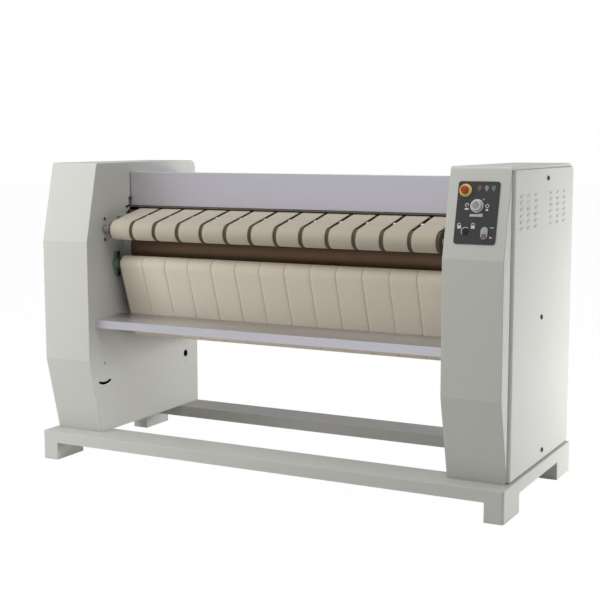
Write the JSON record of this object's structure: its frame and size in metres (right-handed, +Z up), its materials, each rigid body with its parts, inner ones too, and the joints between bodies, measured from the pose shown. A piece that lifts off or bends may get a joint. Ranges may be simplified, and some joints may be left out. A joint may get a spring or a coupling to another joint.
{
  "type": "flatwork ironer",
  "caption": "Free-standing flatwork ironer: heated cylinder with feed belts, ironing belts, stainless hood and shelf between two cabinets on a base, controls on the right.",
  "frame": {"origin": "on the floor, under the middle of the machine", "axes": "+X along the cylinder to the control side, +Y from the operator to the back, +Z up"},
  "size_m": [2.12, 0.87, 1.3],
  "materials": {
    "paint": "satin warm grey paint",
    "stainless": "brushed",
    "steel": "machined",
    "brown_steel": "satin brown",
    "black_steel": "satin black",
    "cast_teal": "satin teal on cast iron",
    "ring_grey": "satin",
    "belt": "woven textile belt",
    "motor_grey": "satin",
    "control_dark": "fine matt",
    "yellow_plastic": "gloss",
    "red_plastic": "gloss",
    "green_plastic": "gloss",
    "white_plastic": "gloss",
    "black_plastic": "matt",
    "dial_silver": "satin"
  },
  "bodies": {
    "root": {"front_beam": "paint", "rear_beam": "paint", "side_beams": "paint", "feet": "paint", "left_cabinet_shell": "paint", "right_cabinet_shell": "paint", "hood": "stainless", "rear_cover": "stainless", "rear_tie_bar": "paint", "guard_pins": "black_steel", "receiving_shelf": "stainless", "shelf_brackets": "paint", "cylinder_bearings": "cast_teal", "cylinder_end_rings": "ring_grey", "heating_elements": "steel", "element_carrier": "steel", "carrier_brackets": "steel", "delivery_bearings": "cast_teal", "lower_bearings": "cast_teal", "cabinet_bearings": "cast_teal", "bearing_bolts": "black_steel", "feed_belts": "belt", "ironing_belts": "belt", "feed_support_bar": "stainless", "gearmotor": "motor_grey", "drive_chains": "steel", "control_plate": "control_dark", "stop_ring": "yellow_plastic", "key_ring": "black_plastic", "button_bezel": "white_plastic", "switch_bodies": "black_plastic", "electrical_panel": "black_plastic", "cable_gland": "black_plastic"},
    "cylinder": {"heated_cylinder": "brown_steel", "cylinder_end_flanges": "steel", "cylinder_sprocket": "steel"},
    "feed_front": {"feed_front_roller": "brown_steel", "feed_sprocket": "steel"},
    "feed_rear": {"feed_rear_roller": "brown_steel"},
    "nose": {"nose_roller": "brown_steel"},
    "delivery": {"delivery_roller": "brown_steel"},
    "lower": {"lower_roller": "brown_steel"},
    "tension": {"tension_roller": "brown_steel"},
    "back_return": {"return_roller": "brown_steel"},
    "motor_output": {"motor_sprocket": "steel"},
    "guard": {"finger_guard": "black_steel"},
    "left_cover": {"left_side_cover": "paint"},
    "right_cover": {"right_side_cover": "paint"},
    "stop": {"stop_button": "red_plastic"},
    "dial": {"temperature_dial": "dial_silver"},
    "key": {"key_core": "steel"},
    "start": {"start_button": "green_plastic"},
    "halt": {"halt_button": "red_plastic"},
    "left_top_lock": {"left_lock_top": "black_steel"},
    "left_middle_lock": {"left_lock_middle": "black_steel"},
    "left_bottom_lock": {"left_lock_bottom": "black_steel"},
    "right_top_lock": {"right_lock_top": "black_steel"},
    "right_middle_lock": {"right_lock_middle": "black_steel"},
    "right_bottom_lock": {"right_lock_bottom": "black_steel"}
  },
  "joints": [
    {"name": "cylinder_spin", "type": "hinge", "parent": "root", "child": "cylinder", "pos_m": [0, 0, 0.92], "axis": [-1, 0, 0], "continuous": true},
    {"name": "feed_front_spin", "type": "hinge", "parent": "root", "child": "feed_front", "pos_m": [0, -0.297, 1.014], "axis": [-1, 0, 0], "continuous": true},
    {"name": "feed_rear_spin", "type": "hinge", "parent": "root", "child": "feed_rear", "pos_m": [0, -0.107, 1.079], "axis": [-1, 0, 0], "continuous": true},
    {"name": "nose_spin", "type": "hinge", "parent": "root", "child": "nose", "pos_m": [0, -0.015, 1.112], "axis": [-1, 0, 0], "continuous": true},
    {"name": "delivery_spin", "type": "hinge", "parent": "root", "child": "delivery", "pos_m": [0, -0.222, 0.859], "axis": [-1, 0, 0], "continuous": true},
    {"name": "lower_spin", "type": "hinge", "parent": "root", "child": "lower", "pos_m": [0, -0.124, 0.569], "axis": [-1, 0, 0], "continuous": true},
    {"name": "tension_spin", "type": "hinge", "parent": "root", "child": "tension", "pos_m": [0, 0.19, 0.6], "axis": [-1, 0, 0], "continuous": true},
    {"name": "back_return_spin", "type": "hinge", "parent": "root", "child": "back_return", "pos_m": [0, 0.235, 1.1], "axis": [-1, 0, 0], "continuous": true},
    {"name": "motor_output_spin", "type": "hinge", "parent": "root", "child": "motor_output", "pos_m": [0, 0.19, 0.43], "axis": [-1, 0, 0], "continuous": true},
    {"name": "guard_swing", "type": "hinge", "parent": "root", "child": "guard", "pos_m": [0, -0.11, 1.141], "axis": [1, 0, 0], "range_deg": [0, 12], "stiffness_Nm_per_rad": 0.6, "springref_deg": -2.86},
    {"name": "left_cover_lift", "type": "slide", "parent": "root", "child": "left_cover", "axis": [-1, 0, 0], "range_m": [0, 0.15]},
    {"name": "left_top_lock_turn", "type": "hinge", "parent": "left_cover", "child": "left_top_lock", "pos_m": [-1.046, 0.074, 1.247], "axis": [-1, 0, 0], "range_deg": [0, 90]},
    {"name": "left_middle_lock_turn", "type": "hinge", "parent": "left_cover", "child": "left_middle_lock", "pos_m": [-1.046, 0.025, 0.709], "axis": [-1, 0, 0], "range_deg": [0, 90]},
    {"name": "left_bottom_lock_turn", "type": "hinge", "parent": "left_cover", "child": "left_bottom_lock", "pos_m": [-1.046, 0.071, 0.168], "axis": [-1, 0, 0], "range_deg": [0, 90]},
    {"name": "right_cover_lift", "type": "slide", "parent": "root", "child": "right_cover", "axis": [1, 0, 0], "range_m": [0, 0.15]},
    {"name": "right_top_lock_turn", "type": "hinge", "parent": "right_cover", "child": "right_top_lock", "pos_m": [1.046, 0.074, 1.247], "axis": [1, 0, 0], "range_deg": [0, 90]},
    {"name": "right_middle_lock_turn", "type": "hinge", "parent": "right_cover", "child": "right_middle_lock", "pos_m": [1.046, 0.025, 0.709], "axis": [1, 0, 0], "range_deg": [0, 90]},
    {"name": "right_bottom_lock_turn", "type": "hinge", "parent": "right_cover", "child": "right_bottom_lock", "pos_m": [1.046, 0.071, 0.168], "axis": [1, 0, 0], "range_deg": [0, 90]},
    {"name": "stop_press", "type": "slide", "parent": "root", "child": "stop", "axis": [0, 0.9727, -0.2323], "range_m": [0, 0.004], "stiffness_N_per_m": 1500, "springref_m": -0.002},
    {"name": "dial_turn", "type": "hinge", "parent": "root", "child": "dial", "pos_m": [0.921, -0.37914, 1.15702], "axis": [0, -0.9727, 0.2323], "range_deg": [-135, 135]},
    {"name": "key_turn", "type": "hinge", "parent": "root", "child": "key", "pos_m": [0.884, -0.40098, 1.06559], "axis": [0, -0.9727, 0.2323], "range_deg": [0, 60]},
    {"name": "start_press", "type": "slide", "parent": "root", "child": "start", "axis": [0, 0.9727, -0.2323], "range_m": [0, 0.003], "stiffness_N_per_m": 800, "springref_m": -0.002},
    {"name": "halt_press", "type": "slide", "parent": "root", "child": "halt", "axis": [0, 0.9727, -0.2323], "range_m": [0, 0.003], "stiffness_N_per_m": 800, "springref_m": -0.002}
  ],
  "couplings": [
    {"joint": "feed_front_spin", "follows": "cylinder_spin", "ratio": 4},
    {"joint": "feed_rear_spin", "follows": "cylinder_spin", "ratio": 9.8182},
    {"joint": "motor_output_spin", "follows": "cylinder_spin", "ratio": 3.3333},
    {"joint": "nose_spin", "follows": "cylinder_spin", "ratio": -9.0162},
    {"joint": "delivery_spin", "follows": "cylinder_spin", "ratio": -4.5699},
    {"joint": "lower_spin", "follows": "cylinder_spin", "ratio": -4.5699},
    {"joint": "tension_spin", "follows": "cylinder_spin", "ratio": -7.0979},
    {"joint": "back_return_spin", "follows": "cylinder_spin", "ratio": -9.0162}
  ]
}
